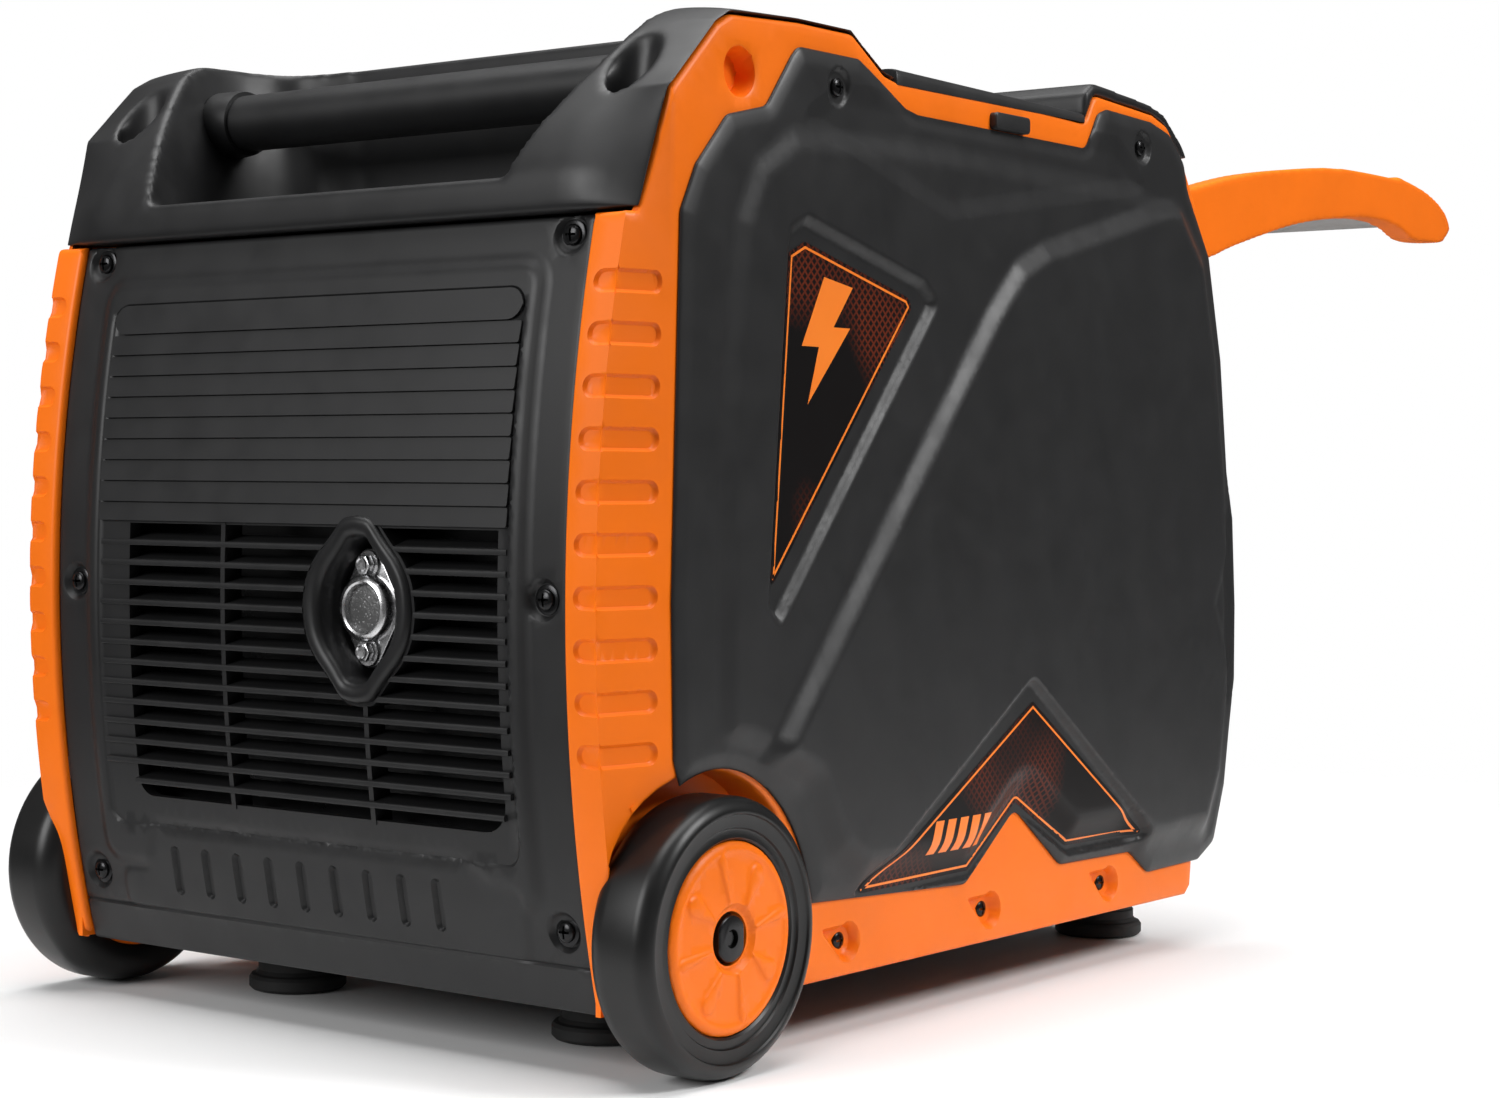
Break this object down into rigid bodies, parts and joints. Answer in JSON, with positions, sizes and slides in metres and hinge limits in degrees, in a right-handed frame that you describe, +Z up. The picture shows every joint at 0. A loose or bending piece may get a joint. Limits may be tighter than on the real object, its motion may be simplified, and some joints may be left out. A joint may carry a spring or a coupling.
{
  "type": "portable generator",
  "caption": "Closed inverter generator on two wheels, with side covers, an exhaust grille, a top grab tube, a control panel and a folding pull handle.",
  "frame": {"origin": "on the ground, under the middle of the bounding box with the pull handle raised", "axes": "+X across the set to the right-hand side cover, +Y along the set from the exhaust end to the control end and the handle, +Z up"},
  "size_m": [0.446, 0.943, 0.5],
  "materials": {
    "black_plastic": "fine-grained matte black moulding",
    "orange_plastic": "satin orange moulding",
    "tyre_rubber": "smooth solid rubber",
    "foot_rubber": "matte rubber",
    "dark_steel": "black oxide steel",
    "bright_steel": "zinc plated steel",
    "cast_aluminium": "as-cast, dull",
    "socket_plastic": "smooth black insert",
    "tank_plastic": "blow-moulded",
    "red_plastic": "smooth red control"
  },
  "bodies": {
    "chassis": {"base_tray": "black_plastic", "exhaust_end_panel": "black_plastic", "exhaust_collar": "black_plastic", "top_cap_exhaust_end": "black_plastic", "grab_tube": "black_plastic", "top_deck": "black_plastic", "top_cap_control_end": "black_plastic", "control_panel": "black_plastic", "fan_shroud": "black_plastic", "recoil_starter": "black_plastic", "side_cover_right": "black_plastic", "side_cover_left": "black_plastic", "side_frame_right": "orange_plastic", "side_frame_left": "orange_plastic", "foot_exhaust_right": "foot_rubber", "foot_exhaust_left": "foot_rubber", "foot_control_right": "foot_rubber", "foot_control_left": "foot_rubber", "engine_mount_exhaust_right": "foot_rubber", "engine_mount_exhaust_left": "foot_rubber", "engine_mount_control_right": "foot_rubber", "engine_mount_control_left": "foot_rubber", "axle": "dark_steel", "muffler": "dark_steel", "stator": "dark_steel", "axle_nut_right": "dark_steel", "axle_nut_left": "dark_steel", "spark_arrestor": "bright_steel", "arrestor_bolt_upper": "bright_steel", "arrestor_bolt_lower": "bright_steel", "ground_terminal": "bright_steel", "handle_pin_right": "bright_steel", "handle_pin_left": "bright_steel", "crankcase": "cast_aluminium", "cylinder_head": "cast_aluminium", "carburettor": "cast_aluminium", "inverter_module": "cast_aluminium", "spark_plug": "socket_plastic", "air_cleaner": "socket_plastic", "battery": "socket_plastic", "outlet_duplex_left": "socket_plastic", "outlet_duplex_right": "socket_plastic", "data_display": "socket_plastic", "usb_module": "socket_plastic", "outlet_twist_lock": "socket_plastic", "dc_socket": "socket_plastic", "fuel_tank": "tank_plastic"},
    "wheel_right": {"tyre_right": "tyre_rubber", "hub_right": "orange_plastic"},
    "wheel_left": {"tyre_left": "tyre_rubber", "hub_left": "orange_plastic"},
    "crank": {"crankshaft": "bright_steel", "flywheel_rotor": "cast_aluminium"},
    "handle": {"pull_handle": "orange_plastic"},
    "fuel_lid": {"fuel_cap": "black_plastic"},
    "engine_dial": {"engine_switch_dial": "red_plastic"},
    "start": {"start_button": "red_plastic"},
    "breaker": {"breaker_button": "socket_plastic"},
    "eco": {"eco_rocker": "red_plastic"},
    "pull_grip": {"recoil_grip": "black_plastic"}
  },
  "joints": [
    {"name": "wheel_right_spin", "type": "hinge", "parent": "chassis", "child": "wheel_right", "pos_m": [0.204, -0.4025, 0.0653], "axis": [1, 0, 0], "continuous": true},
    {"name": "wheel_left_spin", "type": "hinge", "parent": "chassis", "child": "wheel_left", "pos_m": [-0.204, -0.4025, 0.0653], "axis": [1, 0, 0], "continuous": true},
    {"name": "crank_spin", "type": "hinge", "parent": "chassis", "child": "crank", "pos_m": [0, -0.2405, 0.175], "axis": [1, 0, 0], "continuous": true},
    {"name": "handle_fold", "type": "hinge", "parent": "chassis", "child": "handle", "pos_m": [0, 0.0645, 0.425], "axis": [1, 0, 0], "range_deg": [-80, 0]},
    {"name": "fuel_cap_turn", "type": "hinge", "parent": "chassis", "child": "fuel_lid", "pos_m": [0, -0.1545, 0.49], "axis": [0, 0, 1], "range_deg": [0, 100]},
    {"name": "engine_dial_turn", "type": "hinge", "parent": "chassis", "child": "engine_dial", "pos_m": [0.066, 0.0815, 0.33], "axis": [0, -1, 0], "range_deg": [0, 90]},
    {"name": "start_push", "type": "slide", "parent": "chassis", "child": "start", "axis": [0, -1, 0], "range_m": [0, 0.003], "stiffness_N_per_m": 800},
    {"name": "breaker_push", "type": "slide", "parent": "chassis", "child": "breaker", "axis": [0, -1, 0], "range_m": [0, 0.003], "stiffness_N_per_m": 600},
    {"name": "eco_rock", "type": "hinge", "parent": "chassis", "child": "eco", "pos_m": [0.004, 0.0815, 0.33], "axis": [1, 0, 0], "range_deg": [-7, 7]},
    {"name": "recoil_pull", "type": "slide", "parent": "chassis", "child": "pull_grip", "axis": [-1, 0, 0], "range_m": [0, 0.12], "stiffness_N_per_m": 60}
  ]
}
